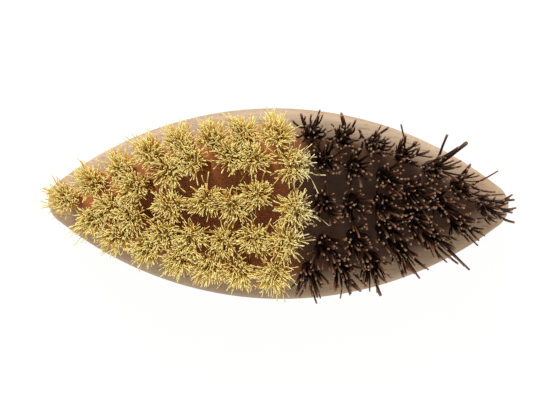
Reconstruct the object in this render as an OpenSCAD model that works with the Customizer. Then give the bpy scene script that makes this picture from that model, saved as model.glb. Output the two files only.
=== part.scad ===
// Vegetable brush: a pointed oval beech block with fanned blind holes. Each hole holds a tuft of
// plant fibre, pale and soft on one half and dark and stiff on the other, folded over a flat wire.
// Millimetres. The origin is the middle of the flat back. +X runs along the block towards the dark
// fibre, and +Z out of the bristle face.

/* [Block] */
// Length of the block over its two noses
block_l = 135; // [128:1:150]
// Width of the block at its middle
block_w = 56; // [54:1:60]
// Thickness of the block, from its back to its bristle face
block_t = 20; // [18:1:26]
// Radius of each nose, seen from above
nose_r = 7; // [7:0.5:8]
// Radius of the edge round the back
back_round = 6; // [3:0.5:6]
// Width of the band in which the bristle face falls away to the rim
roll_w = 4; // [3:0.5:4]
// Radius of that fall
roll_r = 11; // [10:1:18]
// Radius of the edge between the fall and the side
rim_round = 2.5; // [1.5:0.5:3]

/* [Holes] */
// Distance from the block's edge to the outer ring of holes
ring_inset = 7.5; // [7.5:0.5:9]
// Distance from the outer ring of holes to the inner ring
ring_gap = 7.5; // [7:0.5:8]
// Steps between holes along one side of the outer ring, tip to tip
outer_steps = 14; // [12:1:14]
// Steps between holes along one side of the inner ring, tip to tip
inner_steps = 11; // [9:1:11]
// Number of holes in the middle row
row_holes = 8; // [6:1:8]
// Distance between holes in the middle row
row_pitch = 8.5; // [8.5:0.5:10]
// Distance by which the field of holes sits off the block's long axis
field_shift = 1.2; // [0:0.1:1.2]
// Diameter of a hole
hole_d = 4.4; // [4:0.1:4.8]
// Depth of a hole, down to where its drill point begins
hole_depth = 10; // [8:0.5:11]
// Outward lean of the holes at the two tips of the outer ring, in degrees
tip_lean = 9; // [6:1:14]
// Outward lean of the holes at the middle of the outer ring's sides, in degrees
side_lean = 6.5; // [4:0.5:12]

/* [Fibre] */
// Height of the trimmed bristles above the bristle face
bristle_h = 22; // [18:1:26]
// Where the dark fibre begins, counted from the middle of the block
dark_from = 5.5; // [5.5:1:10.5]
// Radius of the crown of a tuft, where the fibres end
crown_r = 3.6; // [3.2:0.1:3.6]
// Thickness of a pale lock of fibre at its root
pale_lock_d = 1.35; // [1:0.05:1.4]
// Thickness of a dark lock of fibre at its root
dark_lock_d = 1.2; // [0.9:0.05:1.4]

/* [Anchor] */
// Length of the flat wire, which bites into the wood on both sides of its hole
wire_l = 6; // [5.6:0.1:6.4]
// Height of the flat wire
wire_h = 2.2; // [1.8:0.1:2.6]
// Thickness of the flat wire
wire_t = 0.4; // [0.3:0.05:0.6]

/* [Hidden] */
$fn = 64;
reach_over = 1;      // how far a cut runs past what it cuts
nose_proud = 0.05;   // how far each nose stands proud of the side arcs, so that the surfaces cross
round_proud = 0.01;  // how far the rounds of the block's edge stand proud, for the same reason
drill_point = 118;   // included angle of the drill point, in degrees
wire_lift = 0.8;     // fibre folded under the wire
collar_h = 1;        // straight stretch of the packed root above the face
bush_h = 4.4;        // height above the face at which the packed fibres are widest
bush_r = 2.75;       // radius of the packed fibres there
bud_h = 1.6;         // how far they bulge up between the locks
lock_sides = 3;
outer_locks = 7;     // locks of fibre round one in the middle of each tuft
lock_root_h = 3;     // height above the face at which the locks part inside the packed root
lock_root_r = 1.85;  // how far from the middle they stand there
bend_at = 0.55;      // share of a lock's rise at which it bends
bend_out = 0.42;     // share of its spread that a lock has made by then
spread_jitter = 0.3;
height_jitter = 0.7;
turn_jitter = 7;
pale = "tampico";
dark = "palmyra";
beech = [0.80, 0.66, 0.48];
straw = [0.86, 0.78, 0.46];
brown = [0.26, 0.17, 0.12];
steel = [0.72, 0.73, 0.75];

// Plan of the block: two equal side arcs, each tangent to both nose circles.
nose_x = block_l / 2 - nose_r;
half_w = block_w / 2;
side_r = (nose_x ^ 2 + half_w ^ 2 - nose_r ^ 2) / (2 * (half_w - nose_r));
side_y = side_r - half_w;

// A ring of holes runs parallel to the block's edge, with one hole at each tip.
function ring_radius(inset) = side_r - inset;
function ring_tip_angle(inset) = acos(side_y / ring_radius(inset));
function ring_tip_x(inset) = ring_radius(inset) * sin(ring_tip_angle(inset));
function ring_side_y(inset) = ring_radius(inset) - side_y;
function ring_hole(inset, steps, k, side) =
    let (angle = ring_tip_angle(inset) * (2 * k / steps - 1))
    [ring_radius(inset) * sin(angle), side * (ring_radius(inset) * cos(angle) - side_y)];
function ring_holes(inset, steps) = [
    ring_hole(inset, steps, 0, 1),
    for (k = [1 : steps - 1], side = [1, -1]) ring_hole(inset, steps, k, side),
    ring_hole(inset, steps, steps, 1)
];
function middle_holes() = [for (k = [0 : row_holes - 1]) [(k - (row_holes - 1) / 2) * row_pitch, 0]];

function shifted(places) = [for (p = places) p + [0, field_shift]];

// One entry a tuft: its name, the place of its hole on the face, and a number that seeds its scatter.
function fibre_at(place) = place.x < dark_from ? pale : dark;
function two_digits(n) = str(n < 10 ? "0" : "", n);
function tufts_of(ring, places, first_seed) = [
    for (k = [0 : len(places) - 1])
        [str(fibre_at(places[k]), "_tuft_", ring, "_", two_digits(k + 1)), places[k], first_seed + k]
];
outer_places = shifted(ring_holes(ring_inset, outer_steps));
inner_places = shifted(ring_holes(ring_inset + ring_gap, inner_steps));
middle_places = shifted(middle_holes());
TUFTS = concat(
    tufts_of("outer", outer_places, 1),
    tufts_of("inner", inner_places, 1 + len(outer_places)),
    tufts_of("middle", middle_places, 1 + len(outer_places) + len(inner_places))
);

// Outward slope of a hole: how far it runs along X and Y for each millimetre of height.
function lean(place) = [
    tan(tip_lean) * place.x / ring_tip_x(ring_inset),
    tan(side_lean) * (place.y - field_shift) / ring_side_y(ring_inset)
];
function lean_angle(place) = atan(norm(lean(place)));
function lean_heading(place) = atan2(lean(place).y, lean(place).x);

// Moves what stands on the origin to a hole's mouth and tilts it along the hole, without a twist.
module at_hole(place) {
    heading = lean_heading(place);
    translate([place.x, place.y, block_t])
        rotate([0, 0, heading]) rotate([0, lean_angle(place), 0]) rotate([0, 0, -heading])
            children();
}

// Section of the block's edge, standing on the X axis with its outer side at reach. Its rounds are
// discs that stand a hair proud, those of the rim more than those of the fall, so that each outline
// crosses the next.
module edge_section(reach, inner) {
    back_centre = [reach - back_round, back_round];
    fall_centre = [reach - roll_w, block_t - roll_r];
    rim_rise = sqrt((roll_r - rim_round) ^ 2 - (roll_w - rim_round) ^ 2);
    rim_centre = [reach - rim_round, fall_centre.y + rim_rise];
    to_rim = (rim_centre - fall_centre) / norm(rim_centre - fall_centre);
    intersection() {
        translate([inner, 0]) square([reach - inner, block_t]);
        union() {
            polygon([
                [inner, 0], [back_centre.x, 0], [reach, back_centre.y], [reach, rim_centre.y],
                rim_centre + to_rim * rim_round, [fall_centre.x, block_t], [inner, block_t]
            ]);
            translate(back_centre) circle(back_round + round_proud);
            translate(rim_centre) circle(rim_round + 2 * round_proud);
            intersection() {
                translate(fall_centre) circle(roll_r + round_proud);
                polygon([
                    fall_centre, fall_centre + to_rim * (roll_r + reach_over) / to_rim.y,
                    [fall_centre.x, block_t + reach_over]
                ]);
            }
        }
    }
}

// A round disc with the block's edge, whose outer side is one side arc.
module side_disc() {
    translate([0, -side_y, 0]) rotate_extrude($fn = 360) edge_section(side_r, 0);
}

// The stretch of the block between its noses: the lens in which two side discs meet, without its
// sharp ends. The cuts run from each nose's centre to where the side arcs touch it.
module middle() {
    past_side = half_w * [nose_x, side_y] / side_y;
    far = [nose_x, 0] + past_side;
    intersection() {
        side_disc();
        mirror([0, 1, 0]) side_disc();
        translate([0, 0, -reach_over]) linear_extrude(block_t + 2 * reach_over)
            polygon([
                [nose_x, 0], far, [-far.x, far.y],
                [-nose_x, 0], [-far.x, -far.y], [far.x, -far.y]
            ]);
    }
}

module nose() {
    translate([nose_x, 0, 0]) rotate_extrude() edge_section(nose_r + nose_proud, 0);
}

module blank() {
    middle();
    nose();
    mirror([1, 0, 0]) nose();
}

// Half section of a hole's bottom: its drill point and the foot of its wall.
function hole_bottom() =
    let (r = hole_d / 2)
    [[0, -hole_depth - r / tan(drill_point / 2)], [r, -hole_depth]];

// A blind hole, open upwards by the given length.
module drilling(mouth) {
    rotate_extrude() polygon(concat(hole_bottom(), [[hole_d / 2, mouth], [0, mouth]]));
}

// Fibres packed tight: they fill the hole and swell above the face into a bud.
module packed_root() {
    rotate_extrude() polygon(concat(hole_bottom(), [
        [hole_d / 2, collar_h],
        [bush_r, bush_h],
        [0.7 * bush_r, bush_h + 0.6 * bud_h],
        [0, bush_h + bud_h]
    ]));
}

module wire_anchor() {
    translate([-wire_t / 2, -wire_l / 2, -hole_depth + wire_lift]) cube([wire_t, wire_l, wire_h]);
}

module block() {
    color(beech) difference() {
        blank();
        for (t = TUFTS) at_hole(t[1]) {
            drilling(bush_h);
            wire_anchor();
        }
    }
}

module wire_anchors() {
    color(steel) for (t = TUFTS) at_hole(t[1]) wire_anchor();
}

// A lock of fibre: a tapering three-sided strand through the given points, from root to tip.
module lock(points, radii, turn) {
    n = lock_sides;
    last = len(points) - 1;
    rings = [
        for (s = [0 : last], k = [0 : n - 1])
            let (a = turn + 360 * k / n) points[s] + radii[s] * [cos(a), sin(a), 0]
    ];
    root_face = [for (k = [1 : n - 2]) [0, k, k + 1]];
    tip_face = [for (k = [1 : n - 2]) [last * n, last * n + k + 1, last * n + k]];
    sides = [
        for (s = [0 : last - 1], k = [0 : n - 1])
            let (a = s * n + k, b = s * n + (k + 1) % n)
            each [[a, a + n, b + n], [a, b + n, b]]
    ];
    polyhedron(points = rings, faces = concat(root_face, sides, tip_face));
}

// Point on a tuft's own axis at a height above the face.
function on_axis(place, h) = [place.x, place.y, block_t] + h * [lean(place).x, lean(place).y, 1];

// Root, bend and tip of one lock that heads away from its tuft's axis.
function lock_path(place, heading, root_r, tip_r, tip_h) =
    let (
        out = [cos(heading), sin(heading), 0],
        bend_h = lock_root_h + bend_at * (tip_h - lock_root_h),
        bend_r = root_r + bend_out * (tip_r - root_r)
    )
    [
        on_axis(place, lock_root_h) + root_r * out,
        on_axis(place, bend_h) + bend_r * out,
        on_axis(place, tip_h) + tip_r * out
    ];

// The locks of one tuft: one in the middle, the rest round it, with a seeded scatter.
function tuft_paths(place, seed) =
    let (
        turn = rands(0, 360, 1, seed)[0],
        spread = rands(-spread_jitter, spread_jitter, outer_locks + 1, seed + 100),
        rise = rands(-height_jitter, height_jitter, outer_locks + 1, seed + 200),
        swing = rands(-turn_jitter, turn_jitter, outer_locks + 1, seed + 300)
    )
    [
        lock_path(place, turn, 0, 2 * spread_jitter + spread[0], bristle_h + rise[0]),
        for (k = [1 : outer_locks])
            lock_path(
                place, turn + 360 * k / outer_locks + swing[k],
                lock_root_r, crown_r + spread[k], bristle_h + rise[k]
            )
    ];

// A tuft: fibres packed in the hole and folded round the wire, then parting into locks.
module tuft(place, seed, fibre) {
    lock_r = (fibre == pale ? pale_lock_d : dark_lock_d) / 2;
    tip_r = lock_r * (fibre == pale ? 0.6 : 0.8);
    color(fibre == pale ? straw : brown) {
        at_hole(place) difference() {
            packed_root();
            wire_anchor();
        }
        for (path = tuft_paths(place, seed))
            lock(path, [lock_r, (lock_r + tip_r) / 2, tip_r], seed * 37);
    }
}

block();
wire_anchors();
for (t = TUFTS) tuft(t[1], t[2], fibre_at(t[1]));
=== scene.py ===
"""A hand brush for vegetables, lying on its back and seen from straight above.

The block is a pointed oval of raw beech. Tufts of pale agave fibre stand on one half of it and
tufts of stiff dark palm fibre on the other, fanned outward and trimmed level. Lengths are metres.
"""

import logging
import math
from dataclasses import dataclass
from enum import Enum

import bpy
import numpy as np
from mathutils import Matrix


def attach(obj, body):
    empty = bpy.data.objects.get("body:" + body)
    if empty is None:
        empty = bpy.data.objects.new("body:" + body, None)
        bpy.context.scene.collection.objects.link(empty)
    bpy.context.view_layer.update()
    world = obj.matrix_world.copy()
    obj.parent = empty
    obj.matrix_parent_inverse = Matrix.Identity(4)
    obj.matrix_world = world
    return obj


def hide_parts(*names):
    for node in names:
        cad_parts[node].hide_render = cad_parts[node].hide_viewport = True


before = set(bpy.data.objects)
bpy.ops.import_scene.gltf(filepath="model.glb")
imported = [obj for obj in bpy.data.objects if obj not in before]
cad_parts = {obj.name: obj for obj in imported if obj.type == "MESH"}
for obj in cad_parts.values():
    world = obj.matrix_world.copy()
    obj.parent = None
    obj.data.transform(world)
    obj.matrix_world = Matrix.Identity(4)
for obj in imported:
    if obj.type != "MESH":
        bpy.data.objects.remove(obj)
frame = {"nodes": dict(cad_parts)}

LOG = logging.getLogger("brush")
MM = 0.001
BODY = "root"
BAKE_MAP = "OFBake"
GOLDEN_TURN = math.radians(137.508)
SEED_STEPS = (1.0, 1.7, 2.3)
WHITE = (1.0, 1.0, 1.0)

Pair = tuple[float, float]
Triple = tuple[float, float, float]
Colour = tuple[float, float, float]
Socket = bpy.types.NodeSocket


class Fibre(Enum):
    """The two plant fibres, named as in the names of the tufts."""

    PALE = "tampico"
    DARK = "palmyra"


class Ring(Enum):
    """The three groups of holes, named as in the names of the tufts."""

    OUTER = "outer"
    INNER = "inner"
    MIDDLE = "middle"


@dataclass(frozen=True)
class Hole:
    """One blind hole: its mouth on the bristle face, its outward slope and the tuft in it."""

    node: str
    ring: Ring
    x: float
    y: float
    slope: Pair
    fibre: Fibre
    seed: int


@dataclass(frozen=True)
class BlockPlan:
    """Plan of the block and the layout of its holes, worked out as the block's maker does."""

    length: float = 135 * MM
    width: float = 56 * MM
    thickness: float = 20 * MM
    nose_radius: float = 7 * MM
    ring_inset: float = 7.5 * MM
    ring_gap: float = 7.5 * MM
    outer_steps: int = 14
    inner_steps: int = 11
    row_holes: int = 8
    row_pitch: float = 8.5 * MM
    field_shift: float = 1.2 * MM
    hole_radius: float = 2.2 * MM
    hole_depth: float = 10 * MM
    tip_lean: float = math.radians(9)
    side_lean: float = math.radians(6.5)
    dark_from: float = 5.5 * MM

    @property
    def side_radius(self) -> float:
        """Radius of the two side arcs, each tangent to both nose circles."""
        nose_x, half = self.length / 2 - self.nose_radius, self.width / 2
        return (nose_x**2 + half**2 - self.nose_radius**2) / (2 * (half - self.nose_radius))

    @property
    def side_offset(self) -> float:
        """How far the centre of a side arc lies beyond the block's long axis."""
        return self.side_radius - self.width / 2

    def ring(self, inset: float, steps: int) -> list[Pair]:
        """The mouths of one ring of holes that runs parallel to the block's edge.

        Args:
            inset: Distance of the ring from the block's edge.
            steps: Steps between holes along one side, tip to tip.

        Returns:
            One (x, y) a hole: the left tip, then pairs above and below the axis, then the right tip.
        """
        radius = self.side_radius - inset
        tip = math.acos(self.side_offset / radius)
        places = []
        for k in range(steps + 1):
            angle = tip * (2 * k / steps - 1)
            x, y = radius * math.sin(angle), radius * math.cos(angle) - self.side_offset
            places += [(x, y)] if k in (0, steps) else [(x, y), (x, -y)]
        return places

    def slope(self, x: float, y: float) -> Pair:
        """How far a hole runs along X and Y for each unit of height.

        Args:
            x: Place of the hole's mouth along the block.
            y: Place of the hole's mouth across the block.

        Returns:
            The slope along X and along Y.
        """
        radius = self.side_radius - self.ring_inset
        tip_x = radius * math.sin(math.acos(self.side_offset / radius))
        side_y = radius - self.side_offset
        along = math.tan(self.tip_lean) * x / tip_x
        across = math.tan(self.side_lean) * (y - self.field_shift) / side_y
        return along, across

    def holes(self) -> list[Hole]:
        """Every hole of the block with the name of its tuft, ring by ring."""
        row = [((k - (self.row_holes - 1) / 2) * self.row_pitch, 0.0) for k in range(self.row_holes)]
        groups = {
            Ring.OUTER: self.ring(self.ring_inset, self.outer_steps),
            Ring.INNER: self.ring(self.ring_inset + self.ring_gap, self.inner_steps),
            Ring.MIDDLE: row,
        }
        holes: list[Hole] = []
        for ring, places in groups.items():
            for k, (x, off_axis) in enumerate(places, start=1):
                y = off_axis + self.field_shift
                fibre = Fibre.PALE if x < self.dark_from else Fibre.DARK
                node = f"{fibre.value}_tuft_{ring.value}_{k:02d}"
                holes.append(Hole(node, ring, x, y, self.slope(x, y), fibre, len(holes) + 1))
        return holes


@dataclass(frozen=True)
class Grain:
    """One noise of a finish: cells a metre along each axis, octaves, seed, and the range in use."""

    stretch: Triple
    detail: float
    seed: float = 0
    low: float = 0.3
    high: float = 0.7


class Nodes:
    """Adds and joins the shader nodes of one material or of the world."""

    def __init__(self, owner: bpy.types.Material | bpy.types.World) -> None:
        """Starts an empty node tree.

        Args:
            owner: The material or world that the nodes are for.
        """
        owner.use_nodes = True
        self.owner = owner
        self.tree = owner.node_tree
        self.tree.nodes.clear()

    @classmethod
    def of_material(cls, name: str) -> "Nodes":
        """Starts a new material of the given name."""
        return cls(bpy.data.materials.new(name))

    def add(self, kind: str, **settings: object) -> bpy.types.Node:
        """Adds a node.

        Args:
            kind: Its type, as Blender names it.
            **settings: Properties of the node to set.

        Returns:
            The new node.
        """
        node = self.tree.nodes.new(kind)
        for name, value in settings.items():
            setattr(node, name, value)
        return node

    def feed(self, socket: Socket, source: object) -> None:
        """Links a socket to another node's output, or sets its value.

        Args:
            socket: The input to feed.
            source: An output socket, a number or a colour.
        """
        if isinstance(source, Socket):
            self.tree.links.new(source, socket)
        else:
            socket.default_value = source

    def place(self) -> Socket:
        """Where a point lies in the object's own space."""
        return self.add("ShaderNodeTexCoord").outputs["Object"]

    def place_along(self, axis: str) -> Socket:
        """How far along X, Y or Z a point lies in the object's own space."""
        parts = self.add("ShaderNodeSeparateXYZ")
        self.feed(parts.inputs["Vector"], self.place())
        return parts.outputs[axis]

    def attribute(self, name: str) -> Socket:
        """The value of a named attribute of the mesh."""
        return self.add("ShaderNodeAttribute", attribute_name=name).outputs["Fac"]

    def join(self, how: str, first: object, second: object) -> Socket:
        """Makes one number of two.

        Args:
            how: Blender's name for the operation.
            first: An output or a number.
            second: An output or a number.

        Returns:
            The result.
        """
        node = self.add("ShaderNodeMath", operation=how)
        self.feed(node.inputs[0], first)
        self.feed(node.inputs[1], second)
        return node.outputs["Value"]

    def noise(self, grain: Grain) -> Socket:
        """The value of a noise in the object's own space."""
        mapping = self.add("ShaderNodeMapping")
        self.feed(mapping.inputs["Vector"], self.place())
        mapping.inputs["Location"].default_value = [grain.seed * step for step in SEED_STEPS]
        mapping.inputs["Scale"].default_value = grain.stretch
        noise = self.add("ShaderNodeTexNoise")
        self.feed(noise.inputs["Vector"], mapping.outputs["Vector"])
        noise.inputs["Scale"].default_value = 1
        noise.inputs["Detail"].default_value = grain.detail
        return noise.outputs["Fac"]

    def spread(self, value: object, low: float, high: float, to_low: float, to_high: float) -> Socket:
        """Maps a range of a value to another, and holds it there.

        Args:
            value: The output to map.
            low: Where the range begins.
            high: Where it ends.
            to_low: What its beginning becomes.
            to_high: What its end becomes.

        Returns:
            The mapped value.
        """
        node = self.add("ShaderNodeMapRange")
        for socket, source in zip(node.inputs, (value, low, high, to_low, to_high)):
            self.feed(socket, source)
        return node.outputs["Result"]

    def ramp(self, value: object, stops: tuple[tuple[float, Colour], ...]) -> Socket:
        """A colour that runs through the given stops as a value grows.

        Args:
            value: The output that drives it.
            stops: Pairs of a value and a linear colour, in order.

        Returns:
            The colour.
        """
        node = self.add("ShaderNodeValToRGB")
        self.feed(node.inputs["Fac"], value)
        bar = node.color_ramp.elements
        while len(bar) < len(stops):
            bar.new(0.5)
        for element, (at, colour) in zip(bar, stops):
            element.position = at
            element.color = (*colour, 1)
        return node.outputs["Color"]

    def mix(self, share: object, first: object, second: object, how: str = "MIX") -> Socket:
        """Mixes two colours.

        Args:
            share: How much of the second.
            first: An output or a linear colour.
            second: An output or a linear colour.
            how: Blender's name for the way to mix.

        Returns:
            The mixed colour.
        """
        node = self.add("ShaderNodeMix", data_type="RGBA", blend_type=how)
        ends = [s for s in node.inputs if s.type == "RGBA"]
        self.feed(node.inputs[0], share)
        for socket, source in zip(ends, (first, second)):
            self.feed(socket, (*source, 1) if isinstance(source, tuple) else source)
        return next(s for s in node.outputs if s.type == "RGBA")

    def bump(self, height: object, strength: float, depth: float) -> Socket:
        """A bumped normal.

        Args:
            height: The output that gives the height.
            strength: Blender's strength of the bump.
            depth: Height of the bumps.

        Returns:
            The normal.
        """
        node = self.add("ShaderNodeBump")
        node.inputs["Strength"].default_value = strength
        node.inputs["Distance"].default_value = depth
        self.feed(node.inputs["Height"], height)
        return node.outputs["Normal"]

    def finish(
        self, colour: object, roughness: object, normal: object, metallic: float = 0, specular: float = 0.5
    ) -> bpy.types.Material:
        """Closes the material with its shader.

        Args:
            colour: Base colour.
            roughness: Roughness.
            normal: Bumped normal.
            metallic: 1 for bare metal.
            specular: How strongly the surface mirrors, 0.5 for most things.

        Returns:
            The finished material.
        """
        shader = self.add("ShaderNodeBsdfPrincipled")
        self.feed(shader.inputs["Base Color"], colour)
        self.feed(shader.inputs["Roughness"], roughness)
        self.feed(shader.inputs["Normal"], normal)
        shader.inputs["Metallic"].default_value = metallic
        shader.inputs["Specular IOR Level"].default_value = specular
        out = self.add("ShaderNodeOutputMaterial")
        self.feed(out.inputs["Surface"], shader.outputs["BSDF"])
        return self.owner


def mm(x: float, y: float) -> Pair:
    """A place or a step given in millimetres."""
    return x * MM, y * MM


def linear(red: int, green: int, blue: int) -> Colour:
    """A colour as seen on a screen, 0 to 255 a channel, in the renderer's linear units."""
    parts = (c / 255 for c in (red, green, blue))
    return tuple(p / 12.92 if p <= 0.04045 else ((p + 0.055) / 1.055) ** 2.4 for p in parts)


@dataclass(frozen=True)
class BeechFinish:
    """Raw sanded beech, its grain along X: soft bands, fine streaks and short dark ray flecks.

    Between the tufts the wood's colour is darkened with painted shade of the fibres: warm under the pale
    tufts, as by light bounced off the pale fibre, and deeper under the dark fibre.
    """

    pale: Colour = linear(190, 168, 142)
    tan: Colour = linear(162, 136, 106)
    streak: Colour = linear(150, 107, 75)
    fleck: Colour = linear(138, 100, 70)
    # Painted shade between the tufts: warm under the pale fibre, as by bounced light, and deeper under the
    # dark fibre.
    painted_warm_shade: Colour = linear(255, 180, 104)
    painted_deep_shade: Colour = linear(138, 102, 72)
    bands: Grain = Grain((5, 120, 430), 3, 2.3, 0.3, 0.62)
    pores: Grain = Grain((55, 1900, 1900), 2, 5.1, 0.35, 0.75)
    rings: Grain = Grain((3, 90, 620), 1, 9.4, 0.60, 0.68)
    rays: Grain = Grain((330, 3200, 3200), 0, 1.2, 0.69, 0.75)
    pore_share: float = 0.35
    ring_share: float = 0.3
    ray_share: float = 0.75
    rough_from: Pair = (0.3, 0.8)
    roughness: Pair = (0.55, 0.72)
    bumps: Pair = (0.25, 0.15 * MM)
    # Where the painted shade begins and is full, inward from the rim, and the depths below the face where
    # it fades out and is full.
    painted_shade_begins: float = 4.2 * MM
    painted_shade_ends: float = 8.4 * MM
    shade_fades_below_face: float = 0.8 * MM
    shade_full_from_face: float = 0.3 * MM
    fibre_border: float = 4 * MM

    def _painted_shade_share(self, nodes: Nodes, plan: BlockPlan) -> Socket:
        """How much painted shade of the fibres darkens the face between the tufts: 0 at the rim, 1 inside.

        Args:
            nodes: The material's nodes.
            plan: The block's plan.

        Returns:
            The share, from how deep a point lies inside the block's two side arcs.
        """
        reaches = []
        for side in (1, -1):
            flat = nodes.add("ShaderNodeVectorMath", operation="MULTIPLY_ADD")
            nodes.feed(flat.inputs[0], nodes.place())
            nodes.feed(flat.inputs[1], (1.0, 1.0, 0.0))
            nodes.feed(flat.inputs[2], (0.0, side * plan.side_offset, 0.0))
            length = nodes.add("ShaderNodeVectorMath", operation="LENGTH")
            nodes.feed(length.inputs[0], flat.outputs["Vector"])
            reaches.append(length.outputs["Value"])
        far = nodes.join("MAXIMUM", reaches[0], reaches[1])
        start, end = plan.side_radius - self.painted_shade_begins, plan.side_radius - self.painted_shade_ends
        inside = nodes.spread(far, end, start, 1, 0)
        shade_fades_at, shade_full_at = plan.thickness - self.shade_fades_below_face, plan.thickness - self.shade_full_from_face
        face = nodes.spread(nodes.place_along("Z"), shade_fades_at, shade_full_at, 0, 1)
        return nodes.join("MULTIPLY", inside, face)

    def material(self, plan: BlockPlan) -> bpy.types.Material:
        """The beech's material.

        Args:
            plan: The block's plan.

        Returns:
            The finished material.
        """
        nodes = Nodes.of_material("raw_beech")
        bands, pores = nodes.noise(self.bands), nodes.noise(self.pores)
        colour = nodes.ramp(bands, ((self.bands.low, self.tan), (self.bands.high, self.pale)))
        for noise, grain, share, mark in (
            (pores, self.pores, self.pore_share, self.tan),
            (nodes.noise(self.rings), self.rings, self.ring_share, self.streak),
            (nodes.noise(self.rays), self.rays, self.ray_share, self.fleck),
        ):
            colour = nodes.mix(nodes.spread(noise, grain.low, grain.high, 0, share), colour, mark)
        pale_side, dark_side = plan.dark_from - self.fibre_border, plan.dark_from + self.fibre_border
        under_dark = nodes.spread(nodes.place_along("X"), pale_side, dark_side, 0, 1)
        # Painted shade: the face between the tufts is multiplied by a darker colour where the fibres shade
        # it.
        painted_shade_colour = nodes.mix(under_dark, self.painted_warm_shade, self.painted_deep_shade)
        colour = nodes.mix(self._painted_shade_share(nodes, plan), colour, painted_shade_colour, "MULTIPLY")
        roughness = nodes.spread(pores, *self.rough_from, *self.roughness)
        return nodes.finish(colour, roughness, nodes.bump(pores, *self.bumps))


@dataclass(frozen=True)
class WireFinish:
    """Drawn flat steel wire, with lines along its length."""

    steel: Colour = linear(198, 198, 201)
    worn: Colour = linear(158, 157, 158)
    draw_lines: Grain = Grain((9000, 900, 9000), 2)
    roughness: Pair = (0.28, 0.45)
    bumps: Pair = (0.2, 0.02 * MM)

    def material(self) -> bpy.types.Material:
        """The wire's material."""
        nodes = Nodes.of_material("drawn_wire")
        grain, lines = self.draw_lines, nodes.noise(self.draw_lines)
        colour = nodes.mix(nodes.spread(lines, grain.low, grain.high, 0, 1), self.steel, self.worn)
        roughness = nodes.spread(lines, grain.low, grain.high, *self.roughness)
        return nodes.finish(colour, roughness, nodes.bump(lines, *self.bumps), metallic=1)


@dataclass(frozen=True)
class FibreFinish:
    """A matt plant fibre: its colour from root to tip, darker towards the root as painted shade deep in
    the tuft, and how much one fibre differs from another.
    """

    name: str
    # Colour from root to tip, darker towards the root as painted shade deep in the tuft.
    stops: tuple[tuple[float, Colour], ...]
    cut: Colour
    other: Colour
    other_share: float
    darkest: float
    lightest: float
    roughness: Pair
    specular: float
    weathered: Colour
    weathered_from: Pair
    weathered_share: float = 0.6
    other_strength: float = 0.8
    skin: Grain = Grain((2600, 2600, 420), 2)
    skin_shades: Pair = (0.86, 1.08)
    bumps: Pair = (0.3, 0.05 * MM)

    def material(self) -> bpy.types.Material:
        """The fibre's material, which reads each fibre's own tone and place from its mesh."""
        nodes = Nodes.of_material(self.name)
        # Painted shade: the ramp darkens each fibre towards its root, where it stands deep in the tuft.
        colour = nodes.ramp(nodes.attribute("along"), self.stops)
        tint = nodes.spread(nodes.attribute("tint"), 1 - self.other_share, 1, 0, self.other_strength)
        colour = nodes.mix(tint, colour, self.other)
        skin = nodes.noise(self.skin)
        shade = nodes.spread(skin, self.skin.low, self.skin.high, *self.skin_shades)
        tone = nodes.spread(nodes.attribute("tone"), 0, 1, self.darkest, self.lightest)
        hue = nodes.add("ShaderNodeHueSaturation")
        nodes.feed(hue.inputs["Color"], colour)
        nodes.feed(hue.inputs["Value"], nodes.join("MULTIPLY", tone, shade))
        weather = nodes.spread(nodes.place_along("X"), *self.weathered_from, 0, self.weathered_share)
        colour = nodes.mix(weather, hue.outputs["Color"], self.weathered)
        colour = nodes.mix(nodes.attribute("cut"), colour, self.cut)
        roughness = nodes.spread(skin, self.skin.low, self.skin.high, *self.roughness)
        return nodes.finish(colour, roughness, nodes.bump(skin, *self.bumps), specular=self.specular)


@dataclass(frozen=True)
class FibreHabit:
    """How one kind of fibre is bundled, fans out, waves and is trimmed.

    The pairs from wild_outer on are ranges, from which each fibre draws its own share.

    Attributes:
        wild: The share of fibres that reach past the crown, and how far at most.
        lobes: How many times round, and by what share, the crown's outline swells.
        bunches: How many bunches the tips gather in, and how tightly.
        loose: How far a crown may stray from its place, in the outer ring and inside it.
        crown_pull: A crown's push along X at the block's end and along Y at its side.
        flare: Power by which a fibre leaves the bundle as it rises.
        reach_power: Power of a root's place in the bundle by which its tip moves out.
        dome: How much lower the crown is at its edge.
        short_every: The short fibres come evenly among this many.
        kink_from: Share of the height from which a tip bends.
    """

    count: int
    short_share: float
    root_radius: float
    tip_radius: float
    thickness_scatter: float
    crown_radius: float
    crown_scatter: float
    swing: float
    wild: Pair
    lobes: tuple[tuple[int, float], ...]
    bunches: tuple[int, float]
    loose: Pair
    inner_spread: float
    crown_drift: Pair
    crown_pull: Pair
    core_top: float
    core_tint: float
    flare: float
    height: float
    height_scatter: float
    bow: float
    wave: float
    kink: float
    curl: float
    splay: float
    sides: int
    joints: int
    finish: FibreFinish
    slot: str
    wall_gap: float = 0.05 * MM
    root_depth: float = 0.9
    reach_power: float = 0.9
    scatter_limit: float = 1.7
    waves: Pair = (1.6, 3.1)
    wild_outer: Pair = (0.3, 0.5)
    wild_inner: Pair = (0.3, 1.0)
    dome: float = 0.05
    short_every: int = 20
    short_lengths: Pair = (0.55, 0.95)
    short_spread: float = 0.8
    stray_drop: float = 0.7
    stray_kink: float = 0.2
    wave_sizes: Pair = (0.3, 1.0)
    curl_sizes: Pair = (0.2, 1.5)
    splay_sizes: Pair = (0.2, 1.8)
    kink_from: float = 0.68
    kink_power: float = 1.6
    knobs: Pair = (0.93, 1.07)
    ovals: Pair = (0.78, 1.22)
    cut_shades: Pair = (0.1, 1.0)


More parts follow.
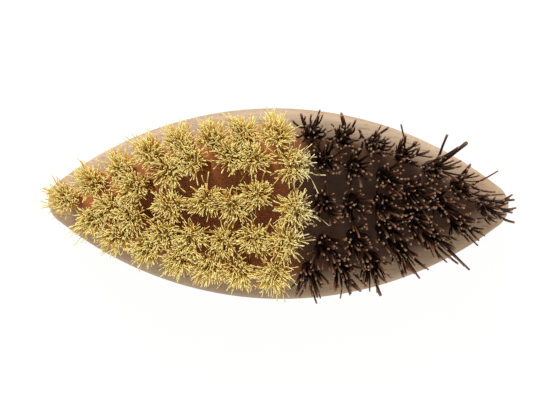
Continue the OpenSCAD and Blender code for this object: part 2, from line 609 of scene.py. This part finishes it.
@dataclass(frozen=True)
class CoreShape:
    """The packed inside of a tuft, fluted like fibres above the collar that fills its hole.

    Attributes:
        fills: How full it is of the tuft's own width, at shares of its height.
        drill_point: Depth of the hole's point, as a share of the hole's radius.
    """

    sides: int = 40
    fills: tuple[Pair, ...] = ((0.15, 0.84), (0.4, 0.76), (0.65, 0.72), (0.85, 0.66), (0.96, 0.45))
    drill_point: float = 0.6
    collar: float = 0.2 * MM
    plain_below: float = 1 * MM
    flutes: Pair = (0.86, 1.08)
    tones: Pair = (0.1, 0.9)


@dataclass(frozen=True)
class BakeLayout:
    """How a tuft's bake map is shared out: columns of fibres, and the core in the last row.

    A fibre's strip and its cut end are measured in shares of its column and row.
    """

    columns: int = 2
    tube_width: float = 0.9
    row_height: float = 0.8
    cap_middle: float = 0.95
    cap_size: Pair = (0.035, 0.45)
    core_left: float = 0.5
    core_width: float = 0.45
    core_height: float = 0.7

    def rows(self, fibres: int) -> int:
        """How many rows the fibres and the core need."""
        return math.ceil((fibres + 1) / self.columns)


@dataclass(frozen=True)
class Stray:
    """One fibre that stands out of its tuft: where its tip is, seen from above, and how it bends.

    Its thickness is a share of the tuft's usual one.
    """

    tip: Pair
    thick: float = 1.0
    bend: Pair = (0.0, 0.0)
    tint: float = 0.2


PALE_HABIT = FibreHabit(
    count=260,
    short_share=0.3,
    root_radius=0.145 * MM,
    tip_radius=0.125 * MM,
    thickness_scatter=0.22,
    crown_radius=2.8 * MM,
    crown_scatter=0.4 * MM,
    swing=0.4,
    wild=(0.1, 3.0 * MM),
    lobes=((2, 0.16), (3, 0.16), (5, 0.12)),
    bunches=(7, 0.8),
    loose=(0.6 * MM, 2.5 * MM),
    inner_spread=1.0,
    crown_drift=(-1.5 * MM, -0.5 * MM),
    crown_pull=(-3.6 * MM, -3.4 * MM),
    core_top=17 * MM,
    core_tint=0.96,
    flare=1.35,
    height=21.8 * MM,
    height_scatter=0.9 * MM,
    bow=0.7 * MM,
    wave=0.25 * MM,
    kink=0.95 * MM,
    curl=1.4 * MM,
    splay=0.7 * MM,
    sides=4,
    joints=11,
    finish=FibreFinish(
        name="pale_agave_fibre",
        # Root to tip: the darker, more orange root end is painted shade deep in the tuft.
        stops=(
            (0.0, linear(208, 144, 64)),
            (0.5, linear(236, 177, 72)),
            (0.85, linear(241, 211, 107)),
            (1.0, linear(243, 230, 157)),
        ),
        cut=linear(232, 208, 148),
        other=linear(204, 134, 52),
        other_share=0.14,
        darkest=0.92,
        lightest=1.06,
        roughness=(0.5, 0.66),
        specular=0.4,
        weathered=linear(234, 228, 184),
        weathered_from=(2 * MM, 9 * MM),
    ),
    slot="pale_fibre",
)

DARK_HABIT = FibreHabit(
    count=32,
    short_share=0.15,
    root_radius=0.31 * MM,
    tip_radius=0.27 * MM,
    thickness_scatter=0.3,
    crown_radius=4.9 * MM,
    crown_scatter=0.9 * MM,
    swing=0.2,
    wild=(0.08, 2.0 * MM),
    lobes=((2, 0.1), (3, 0.1)),
    bunches=(5, 0.4),
    loose=(0.6 * MM, 1.1 * MM),
    inner_spread=1.16,
    crown_drift=(0.0 * MM, -1.5 * MM),
    crown_pull=(-0.4 * MM, -0.4 * MM),
    core_top=4 * MM,
    core_tint=0.0,
    flare=1.0,
    height=21.6 * MM,
    height_scatter=0.9 * MM,
    bow=0.7 * MM,
    wave=0.06 * MM,
    kink=0.12 * MM,
    curl=0.1 * MM,
    splay=0.3 * MM,
    sides=6,
    joints=8,
    finish=FibreFinish(
        name="dark_palm_fibre",
        # Root to tip: the darker root end is painted shade deep in the tuft.
        stops=(
            (0.0, linear(64, 38, 26)),
            (0.5, linear(72, 47, 33)),
            (1.0, linear(104, 72, 51)),
        ),
        cut=linear(138, 113, 93),
        other=linear(124, 66, 44),
        other_share=0.2,
        darkest=0.72,
        lightest=1.16,
        roughness=(0.42, 0.6),
        specular=0.3,
        weathered=linear(92, 76, 66),
        weathered_from=(56 * MM, 70 * MM),
    ),
    slot="dark_fibre",
)

STRAYS: dict[str, tuple[Stray, ...]] = {
    "palmyra_tuft_outer_24": (
        Stray(mm(53.1, 18.3), 2.2),
        Stray(mm(50.6, 16.9), 1.1),
        Stray(mm(47.7, 20.5), 1.1, mm(-0.2, 0.3)),
    ),
    "palmyra_tuft_outer_22": (Stray(mm(34.4, 23.2), 0.9, mm(0.9, 0.0)),),
    "palmyra_tuft_outer_26": (
        Stray(mm(62.2, 10.5), 0.85, tint=0.95),
        Stray(mm(54.2, 12.1), 1.4),
        Stray(mm(53.4, 10.9), 1.2),
    ),
    "palmyra_tuft_outer_28": (
        Stray(mm(66.2, 3.7), 1.1, tint=0.9),
        Stray(mm(66.7, 2.3), 1.0),
        Stray(mm(66.2, -1.4), 1.2),
    ),
    "palmyra_tuft_outer_27": (
        Stray(mm(56.8, -6.3), 1.0),
        Stray(mm(56.8, -9.2), 1.1, tint=0.85),
        Stray(mm(54.2, -9.5), 1.0),
    ),
    "palmyra_tuft_outer_25": (
        Stray(mm(54.5, -17.7), 1.1),
        Stray(mm(51.1, -15.8), 1.2),
        Stray(mm(53.1, -16.6), 0.8, mm(0.5, 0.5)),
    ),
    "palmyra_tuft_outer_21": (Stray(mm(29.3, -25.1), 1.4), Stray(mm(28.4, -24.3), 1.1, tint=0.9)),
    "palmyra_tuft_outer_18": (Stray(mm(17.6, 25.6), 1.4, tint=1.0),),
    "palmyra_tuft_outer_17": (
        Stray(mm(3.7, -23.5), 1.0, mm(0.8, 0.4)),
        Stray(mm(9.1, -24.2), 1.3),
    ),
    "palmyra_tuft_outer_16": (
        Stray(mm(3.7, 24.0), 1.1, mm(0.0, -0.8)),
        Stray(mm(12.2, 22.7), 0.9),
    ),
    "tampico_tuft_middle_05": (
        Stray(mm(15.0, -6.4), 0.7, mm(0.0, 1.2), 0.3),
        Stray(mm(9.7, -2.1), 0.8, mm(0.6, 0.8), 0.3),
    ),
}


def around(angle: np.ndarray) -> np.ndarray:
    """Steps of length 1 along X and Y, at angles round an axis."""
    return np.stack([np.cos(angle), np.sin(angle)], axis=-1)


@dataclass
class Tuft:
    """One tuft: fibres packed in their hole that fan out above it to a ragged, level crown.

    Pale tufts within border_reach of the dark ones are more unruly than the rest.
    """

    hole: Hole
    plan: BlockPlan
    habit: FibreHabit
    material: bpy.types.Material
    strays: tuple[Stray, ...] = ()
    shape: CoreShape = CoreShape()
    layout: BakeLayout = BakeLayout()
    first_seed: int = 4100
    border_reach: float = 7 * MM
    border_unruly: float = 1.5

    def __post_init__(self) -> None:
        """Seeds the tuft's own scatter and works out how wide its crown opens."""
        habit, hole = self.habit, self.hole
        self.random = np.random.default_rng(self.first_seed + hole.seed)
        at_border = abs(hole.x - self.plan.dark_from) < self.border_reach
        self.unruly = self.border_unruly if at_border and hole.fibre is Fibre.PALE else 1.0
        self.outer = hole.ring is Ring.OUTER
        self.crown = habit.crown_radius * (1.0 if self.outer else habit.inner_spread)
        self.pushed = self._pushed(habit.loose[0 if self.outer else 1])
        self.stray_rows = [(habit.count - k, stray) for k, stray in enumerate(self.strays, start=1)]

    def _pushed(self, loose: float) -> np.ndarray:
        """How far use has pushed the crown off the hole's own axis.

        Args:
            loose: How far it may differ from its neighbours.

        Returns:
            The push along X and along Y.
        """
        habit, hole, plan = self.habit, self.hole, self.plan
        own = self.random.uniform(-loose, loose, 2)
        out = np.array([2 * hole.x / plan.length, 2 * hole.y / plan.width])
        return own + np.array(habit.crown_drift) + np.array(habit.crown_pull) * out

    def _outside(self) -> np.ndarray:
        """The direction, along X and Y, in which the block's edge lies nearest."""
        side = math.copysign(1.0, self.hole.y - self.plan.field_shift)
        away = np.array([self.hole.x, self.hole.y + side * self.plan.side_offset])
        return away / np.linalg.norm(away)

    def _axis(self, height: np.ndarray) -> np.ndarray:
        """Points on the tuft's middle line, bent over as use has left it, at heights above the face."""
        sx, sy = self.hole.slope
        bent = 1 - (1 - np.clip(height / self.habit.height, 0, 1)) ** 2
        x = self.hole.x + sx * height + self.pushed[0] * bent
        y = self.hole.y + sy * height + self.pushed[1] * bent
        return np.stack([x, y, self.plan.thickness + height], axis=-1)

    def _swing_and_reach(self, turn: np.ndarray, share: np.ndarray) -> tuple[np.ndarray, np.ndarray]:
        """Where the tips lie round the tuft's axis, gathered in bunches and in a lobed outline.

        Args:
            turn: Angles of the roots round the axis.
            share: How far out each root stands in the bundle, 0 to 1.

        Returns:
            The tips' angles and their distances from the axis.
        """
        habit, rnd, n = self.habit, self.random, self.habit.count
        swung = turn + rnd.normal(0, habit.swing, n)
        lobes = sum(
            size * np.sin(times * swung + rnd.uniform(0, math.tau)) for times, size in habit.lobes
        )
        bunches, gathered = habit.bunches
        swung += gathered * np.sin(bunches * swung + rnd.uniform(0, math.tau)) / bunches
        far = self.crown * share**habit.reach_power * (1 + lobes)
        scatter = np.clip(rnd.normal(0, 1, n), -habit.scatter_limit, habit.scatter_limit)
        far += scatter * habit.crown_scatter * self.unruly
        wild_share, wild_reach = habit.wild
        is_wild = rnd.uniform(0, 1, n) < wild_share
        own = rnd.uniform(*(habit.wild_outer if self.outer else habit.wild_inner), n)
        far += np.where(is_wild, own, 0) * wild_reach
        return swung, far

    def _root_and_tip(self) -> tuple[np.ndarray, np.ndarray, np.ndarray]:
        """Where each fibre stands in the hole and how far its tip has moved from the tuft's axis.

        Returns:
            Offsets of the roots, offsets of the tips, and heights of the tips above the face.
        """
        habit, hole, rnd, n = self.habit, self.hole, self.random, self.habit.count
        turn = np.arange(n) * GOLDEN_TURN + rnd.uniform(0, math.tau)
        share = np.sqrt((np.arange(n) + 0.5) / n)
        root_reach = self.plan.hole_radius - habit.root_radius - habit.wall_gap
        root = root_reach * share[:, None] * around(turn)
        swung, far = self._swing_and_reach(turn, share)
        tip = far[:, None] * around(swung)
        domed = habit.dome * far**2 / self.crown
        rise = habit.height + rnd.uniform(-1, 1, n) * habit.height_scatter - domed
        short = np.arange(n) % habit.short_every < habit.short_every * habit.short_share
        shrink = np.where(short, rnd.uniform(*habit.short_lengths, n), 1.0)
        rise *= shrink
        tip *= shrink[:, None] ** habit.short_spread
        for row, stray in self.stray_rows:
            reach = np.array([stray.tip[0] - hole.x, stray.tip[1] - hole.y])
            rise[row] = math.sqrt(habit.height**2 - habit.stray_drop * float(reach @ reach))
            tip[row] = reach - np.array(hole.slope) * rise[row] - self.pushed
        return root, tip, rise

    def _bows(self) -> np.ndarray:
        """How far, and which way, each fibre bows at half its height."""
        habit, rnd, n = self.habit, self.random, self.habit.count
        heading = rnd.uniform(0, math.tau, n)
        bow = np.abs(rnd.normal(0, habit.bow, n))[:, None] * around(heading)
        for row, stray in self.stray_rows:
            bow[row] = stray.bend
        return bow

    def _wave(self, turns: float, grown: np.ndarray) -> np.ndarray:
        """How far one wave moves each fibre at each share of its height.

        Args:
            turns: How many times the wave swings from root to tip.
            grown: Shares of the height, 0 to 1.

        Returns:
            Offsets, fibres by points by 2.
        """
        rnd, n = self.random, self.habit.count
        phase = rnd.uniform(0, math.tau, (n, 1, 2))
        size = rnd.uniform(*self.habit.wave_sizes, (n, 1, 1)) * self.habit.wave * self.unruly / turns**0.5
        swing = np.sin(math.tau * turns * grown[None, :, None] + phase) - np.sin(phase)
        return size * swing * grown[None, :, None] ** 0.5

    def _kinks(self, tip: np.ndarray, grown: np.ndarray) -> np.ndarray:
        """How far the upper part of each fibre has been bent by use, mostly outward.

        Args:
            tip: Offsets of the tips from the tuft's axis.
            grown: Shares of the height, 0 to 1.

        Returns:
            Offsets, fibres by points by 2.
        """
        habit, rnd, n = self.habit, self.random, self.habit.count
        outward = tip / np.maximum(np.linalg.norm(tip, axis=1, keepdims=True), 1e-6)
        turned = rnd.normal(0, habit.kink * self.unruly, (n, 2))
        turned += outward * habit.curl * rnd.uniform(*habit.curl_sizes, (n, 1))
        if self.outer:
            turned += self._outside() * habit.splay * rnd.uniform(*habit.splay_sizes, (n, 1))
        bent = np.clip((grown - habit.kink_from) / (1 - habit.kink_from), 0, 1) ** habit.kink_power
        kinks = turned[:, None, :] * bent[None, :, None]
        for row, _ in self.stray_rows:
            kinks[row] *= habit.stray_kink
        return kinks

    def _paths(self) -> np.ndarray:
        """The middle line of every fibre, as points from its root in the hole to its tip."""
        habit = self.habit
        root, tip, rise = self._root_and_tip()
        up = np.concatenate([[-1.0, 0.0], np.linspace(0, 1, habit.joints)[1:]])
        grown = np.clip(up, 0, 1)
        in_hole = -habit.root_depth * self.plan.hole_depth
        height = np.where(up < 0, in_hole, grown[None, :] * rise[:, None])
        out = grown**habit.flare
        offset = root[:, None, :] * (1 - out)[None, :, None] + tip[:, None, :] * out[None, :, None]
        offset += self._bows()[:, None, :] * (4 * grown * (1 - grown))[None, :, None]
        for turns in habit.waves:
            offset += self._wave(turns, grown)
        offset += self._kinks(tip, grown)
        points = self._axis(height)
        points[..., :2] += offset
        return points

    def _thickness(self, stations: int) -> np.ndarray:
        """Radius of every fibre at each of its points."""
        habit, rnd, n = self.habit, self.random, self.habit.count
        own = 1 + rnd.uniform(-1, 1, n) * habit.thickness_scatter
        for row, stray in self.stray_rows:
            own[row] = stray.thick
        taper = np.linspace(habit.root_radius, habit.tip_radius, stations)
        return own[:, None] * taper[None, :] * rnd.uniform(*habit.knobs, (n, stations))

    def _tubes(self) -> tuple[np.ndarray, np.ndarray]:
        """Corners of every fibre's rings, and how far along its fibre each ring stands.

        Returns:
            An array of fibres by rings by sides by 3, and one of fibres by rings.
        """
        habit, paths = self.habit, self._paths()
        radius = self._thickness(paths.shape[1])
        run = np.gradient(paths, axis=1)
        run /= np.linalg.norm(run, axis=-1, keepdims=True)
        across = np.cross(run, np.array([1.0, 0.0, 0.0]))
        across /= np.linalg.norm(across, axis=-1, keepdims=True)
        other = np.cross(run, across)
        angle = math.tau * np.arange(habit.sides) / habit.sides
        flat = self.random.uniform(*habit.ovals, (habit.count, 1, 1, 1))
        ring = (
            across[:, :, None, :] * np.cos(angle)[None, None, :, None] * flat
            + other[:, :, None, :] * np.sin(angle)[None, None, :, None] / flat
        )
        along = np.clip((paths[..., 2] - self.plan.thickness) / habit.height, 0, 1)
        return paths[:, :, None, :] + radius[:, :, None, None] * ring, along

    def _core_profile(self) -> list[Pair]:
        """Radius and height of the core's rings, from the bottom of the hole to its top."""
        shape, habit = self.shape, self.habit
        r, depth, top = self.plan.hole_radius, self.plan.hole_depth, habit.core_top
        profile = [(0.0, -depth - shape.drill_point * r), (r, -depth), (r, shape.collar)]
        for share, fill in shape.fills:
            opened = (share * top / habit.height) ** habit.flare
            profile.append((fill * (r * (1 - opened) + self.crown * opened), share * top))
        return profile + [(0.0, top)]

    def _core(self) -> tuple[np.ndarray, list[list[int]], np.ndarray, np.ndarray]:
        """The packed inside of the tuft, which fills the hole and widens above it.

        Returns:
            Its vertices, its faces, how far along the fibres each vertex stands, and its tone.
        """
        shape, n = self.shape, self.shape.sides
        bottom, *rings, top = self._core_profile()
        angle = math.tau * np.arange(n) / n
        flute = self.random.uniform(*shape.flutes, n)
        points, faces = [self._axis(np.array(bottom[1]))], []
        for radius, height in rings:
            wide = radius * (np.ones(n) if height < shape.plain_below else flute)
            ring = self._axis(np.full(n, height))
            ring[:, :2] += around(angle) * wide[:, None]
            points += list(ring)
        points.append(self._axis(np.array(top[1])))
        last = 1 + (len(rings) - 1) * n
        for k in range(n):
            nxt = (k + 1) % n
            faces.append([0, 1 + nxt, 1 + k])
            for low in range(1, last, n):
                faces.append([low + k, low + nxt, low + n + nxt, low + n + k])
            faces.append([last + k, last + nxt, len(points) - 1])
        points = np.array(points)
        along = np.clip((points[:, 2] - self.plan.thickness) / self.habit.height, 0, 1)
        tone = np.tile(self.random.uniform(*shape.tones, n), len(rings))
        return points, faces, along, np.concatenate([[0.5], tone, [0.5]])

    def _fibre_faces(self, stations: int) -> tuple[np.ndarray, np.ndarray]:
        """Corners of the faces of all fibres.

        Args:
            stations: Rings of corners along a fibre.

        Returns:
            The faces along the fibres, and the faces at their two ends.
        """
        n, sides = self.habit.count, self.habit.sides
        k = np.arange(sides)
        start = (np.arange(n) * stations * sides)[:, None, None]
        ring = start + (np.arange(stations - 1) * sides)[None, :, None]
        a, b = ring + k, ring + (k + 1) % sides
        quads = np.stack([a, b, b + sides, a + sides], axis=-1)
        top = start + (stations - 1) * sides + k
        caps = np.concatenate([top, start + k[::-1]], axis=1)
        return quads.reshape(-1, 4), caps.reshape(-1, sides)

    def _fibre_map(self, stations: int) -> np.ndarray:
        """Places in the bake map of the corners of the fibres' faces, in the faces' order.

        Args:
            stations: Rings of corners along a fibre.

        Returns:
            The corners along the fibres, then those at their ends.
        """
        layout, n, sides = self.layout, self.habit.count, self.habit.sides
        columns, rows = layout.columns, layout.rows(n)
        wide, tall = layout.tube_width / columns, layout.row_height / rows
        fibre = np.arange(n)
        corner = np.stack([fibre % columns / columns, fibre // columns / rows], axis=-1)[:, None]
        s, k = np.meshgrid(np.arange(stations - 1), np.arange(sides), indexing="ij")
        u = wide * np.stack([s, s, s + 1, s + 1], axis=-1) / (stations - 1)
        v = tall * np.stack([k, k + 1, k + 1, k], axis=-1) / sides
        strip = np.stack([u, v], axis=-1).reshape(-1, 2)
        k = np.arange(sides)
        end = around(math.tau * k / sides) * np.array(layout.cap_size)
        top = (end + np.array([layout.cap_middle, 0.5])) * np.array([1 / columns, tall])
        foot = np.stack([0 * k, tall * k / sides], axis=-1)
        caps = corner + np.concatenate([top, foot])
        return np.concatenate([(corner + strip).reshape(-1, 2), caps.reshape(-1, 2)])

    def _core_map(self, core: np.ndarray, faces: list[list[int]], along: np.ndarray) -> np.ndarray:
        """Places in the bake map of the corners of the core's faces.

        Args:
            core: The core's vertices.
            faces: Its faces.
            along: How far along the fibres each vertex stands.

        Returns:
            The corners in the faces' order.
        """
        layout, rows = self.layout, self.layout.rows(self.habit.count)
        order = np.concatenate(faces)
        x, y = core[order, 0] - self.hole.x, core[order, 1] - self.hole.y
        turn = np.arctan2(y, x) / math.tau + 0.5
        height = (rows - 1) / rows + layout.core_height / rows * along[order]
        return np.stack([layout.core_left + layout.core_width * turn, height], axis=-1)

    def build(self) -> bpy.types.Object:
        """Makes the tuft's mesh with its attributes and bake map, and puts it in the scene.

        Returns:
            The tuft as one object, named after its hole.
        """
        habit, rnd = self.habit, self.random
        tubes, along = self._tubes()
        n, stations, sides = tubes.shape[:3]
        core, core_faces, core_along, core_tone = self._core()
        quads, caps = self._fibre_faces(stations)
        first = n * stations * sides
        own = [[v + first for v in face] for face in core_faces]
        faces = quads.tolist() + caps.tolist() + own
        name = self.hole.node + "_fibres"
        mesh = bpy.data.meshes.new(name)
        mesh.from_pydata(np.concatenate([tubes.reshape(-1, 3), core]).tolist(), [], faces)
        tone, tint = rnd.uniform(0, 1, n), rnd.uniform(0, 1, n)
        for row, stray in self.stray_rows:
            tint[row] = stray.tint
        per_point = {
            "along": (np.repeat(along.reshape(-1), sides), core_along),
            "tone": (np.repeat(tone, stations * sides), core_tone),
            "tint": (np.repeat(tint, stations * sides), np.full(len(core), habit.core_tint)),
        }
        for attribute, parts in per_point.items():
            values = np.concatenate(parts).astype(np.float32)
            mesh.attributes.new(attribute, "FLOAT", "POINT").data.foreach_set("value", values)
        ends = slice(len(quads), len(quads) + len(caps))
        cut = np.zeros(len(faces), np.float32)
        cut[ends][::2] = rnd.uniform(*habit.cut_shades, n)
        mesh.attributes.new("cut", "FLOAT", "FACE").data.foreach_set("value", cut)
        corners = [self._fibre_map(stations), self._core_map(core, core_faces, core_along)]
        layer = mesh.uv_layers.new(name=BAKE_MAP)
        layer.uv.foreach_set("vector", np.concatenate(corners).astype(np.float32).reshape(-1))
        smooth = np.ones(len(faces), bool)
        smooth[ends] = False
        mesh.polygons.foreach_set("use_smooth", smooth)
        mesh.materials.append(self.material)
        mesh.update()
        piece = bpy.data.objects.new(name, mesh)
        bpy.context.scene.collection.objects.link(piece)
        return piece

    def place(self) -> bpy.types.Object:
        """Builds the tuft, hangs it on the brush's body and hides the imported part that it stands in for.
        """
        piece = self.build()
        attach(piece, BODY)
        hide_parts(self.hole.node)
        return piece


@dataclass
class Block:
    """The beech block and the flat wires in it, which keep their own shapes."""

    beech: BeechFinish = BeechFinish()
    wire: WireFinish = WireFinish()

    def dress(self, nodes: dict[str, bpy.types.Object], plan: BlockPlan) -> None:
        """Gives the block and the wires their finishes.

        Args:
            nodes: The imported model's objects by name.
            plan: The block's plan.
        """
        finishes = {"block": self.beech.material(plan), "wire_anchors": self.wire.material()}
        for name, material in finishes.items():
            mesh = nodes[name].data
            mesh.materials.clear()
            mesh.materials.append(material)
            LOG.info("%s: %d faces, finish %s", name, len(mesh.polygons), material.name)


@dataclass
class BrushHead:
    """All the tufts of the brush."""

    plan: BlockPlan
    habits: dict[Fibre, FibreHabit]
    strays: dict[str, tuple[Stray, ...]]

    def build(self) -> None:
        """Builds every tuft in its hole and reports it."""
        materials = {fibre: habit.finish.material() for fibre, habit in self.habits.items()}
        for hole in self.plan.holes():
            own, material = self.strays.get(hole.node, ()), materials[hole.fibre]
            piece = Tuft(hole, self.plan, self.habits[hole.fibre], material, own).place()
            LOG.info("%s: %d faces", piece.name, len(piece.data.polygons))


@dataclass(frozen=True)
class Lamp:
    """A soft far lamp: its strength, the way to it and the angle in degrees that it fills."""

    name: str
    strength: float
    from_where: Triple
    softness: float

    def hang(self) -> None:
        """Adds the lamp to the scene and turns it towards the brush."""
        lamp = bpy.data.lights.new(self.name, "SUN")
        lamp.energy = self.strength
        lamp.angle = math.radians(self.softness)
        holder = bpy.data.objects.new(self.name, lamp)
        x, y, z = self.from_where
        holder.rotation_euler = (math.atan2(math.hypot(x, y), z), 0, math.atan2(y, x) + math.pi / 2)
        bpy.context.scene.collection.objects.link(holder)


@dataclass
class Studio:
    """A white table, soft lamps from behind the brush and above, and the camera over it."""

    camera_away: float = 0.70
    camera_tilt: float = math.radians(1.2)
    camera_roll: float = math.radians(0.7)
    aim: Triple = (-1.18 * MM, -0.75 * MM, 15 * MM)
    lens: float = 152.1
    sensor: float = 36
    clip: Pair = (0.01, 10)
    lamps: tuple[Lamp, ...] = (
        Lamp("key_lamp", 2.4, (-0.3, 1.0, 0.95), 24),
        Lamp("fill_lamp", 0.3, (0.1, 0.15, 1.0), 50),
    )
    world_strength: float = 0.72
    world_tint: Colour = (1.0, 0.955, 0.89)
    table_size: float = 3.0
    table_top: float = -0.02 * MM
    table_greys: tuple[Colour, Colour] = (linear(240, 240, 240), linear(246, 246, 246))
    table_grain: Grain = Grain((60, 60, 60), 3)
    table_glow: float = 1.03
    table_glow_share: float = 0.92

    def light(self) -> None:
        """Lights the scene from the lamps and from a world that shows white."""
        for lamp in self.lamps:
            lamp.hang()
        world = bpy.data.worlds.new("white_studio")
        bpy.context.scene.world = world
        nodes = Nodes(world)
        rays = nodes.add("ShaderNodeLightPath").outputs
        seen = nodes.join("MAXIMUM", rays["Is Camera Ray"], rays["Is Glossy Ray"])
        seen = nodes.join("MAXIMUM", seen, rays["Is Transmission Ray"])
        sky = nodes.add("ShaderNodeBackground")
        nodes.feed(sky.inputs["Color"], nodes.ramp(seen, ((0.0, self.world_tint), (1.0, WHITE))))
        nodes.feed(sky.inputs["Strength"], nodes.spread(seen, 0, 1, self.world_strength, 1.0))
        out = nodes.add("ShaderNodeOutputWorld")
        nodes.feed(out.inputs["Surface"], sky.outputs["Background"])

    def _table_finish(self) -> bpy.types.Material:
        """A matt white that shows white to the camera and keeps some of the brush's shadow."""
        nodes = Nodes.of_material("white_table")
        grain = self.table_grain
        shade = nodes.spread(nodes.noise(grain), grain.low, grain.high, 0, 1)
        matt = nodes.add("ShaderNodeBsdfDiffuse")
        nodes.feed(matt.inputs["Color"], nodes.mix(shade, *self.table_greys))
        glow = nodes.add("ShaderNodeEmission")
        glow.inputs["Strength"].default_value = self.table_glow
        path = nodes.add("ShaderNodeLightPath")
        both = nodes.add("ShaderNodeMixShader")
        share = nodes.spread(path.outputs["Is Camera Ray"], 0, 1, 0, self.table_glow_share)
        nodes.feed(both.inputs[0], share)
        nodes.feed(both.inputs[1], matt.outputs["BSDF"])
        nodes.feed(both.inputs[2], glow.outputs["Emission"])
        out = nodes.add("ShaderNodeOutputMaterial")
        nodes.feed(out.inputs["Surface"], both.outputs["Shader"])
        return nodes.owner

    def table(self) -> None:
        """Lays the white table, just under the brush."""
        half, low = self.table_size / 2, self.table_top
        corners = [(-half, -half, low), (half, -half, low), (half, half, low), (-half, half, low)]
        mesh = bpy.data.meshes.new("table_top")
        mesh.from_pydata(corners, [], [(0, 1, 2, 3)])
        mesh.materials.append(self._table_finish())
        table = bpy.data.objects.new("table_top", mesh)
        bpy.context.scene.collection.objects.link(table)

    def camera(self) -> None:
        """Sets the camera over the brush, a little behind it, as the photograph was taken."""
        data = bpy.data.cameras.new("studio_camera")
        data.lens = self.lens
        data.sensor_width = self.sensor
        data.clip_start, data.clip_end = self.clip
        holder = bpy.data.objects.new("studio_camera", data)
        x, y, z = self.aim
        away = self.camera_away - z
        holder.location = (x, y + away * math.sin(self.camera_tilt), z + away * math.cos(self.camera_tilt))
        holder.rotation_euler = (-self.camera_tilt, 0, self.camera_roll)
        bpy.context.scene.collection.objects.link(holder)
        bpy.context.scene.camera = holder

    def set_up(self) -> None:
        """Makes the table, the lamps and the camera."""
        bpy.context.scene.view_settings.view_transform = "Standard"
        self.table()
        self.light()
        self.camera()


def main() -> None:
    """Builds the brush and its studio in order."""
    logging.basicConfig(level=logging.INFO, format="%(name)s: %(message)s")
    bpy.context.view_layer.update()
    plan = BlockPlan()
    Studio().set_up()
    Block().dress(frame["nodes"], plan)
    BrushHead(plan, {Fibre.PALE: PALE_HABIT, Fibre.DARK: DARK_HABIT}, STRAYS).build()


if __name__ == "__main__":
    main()
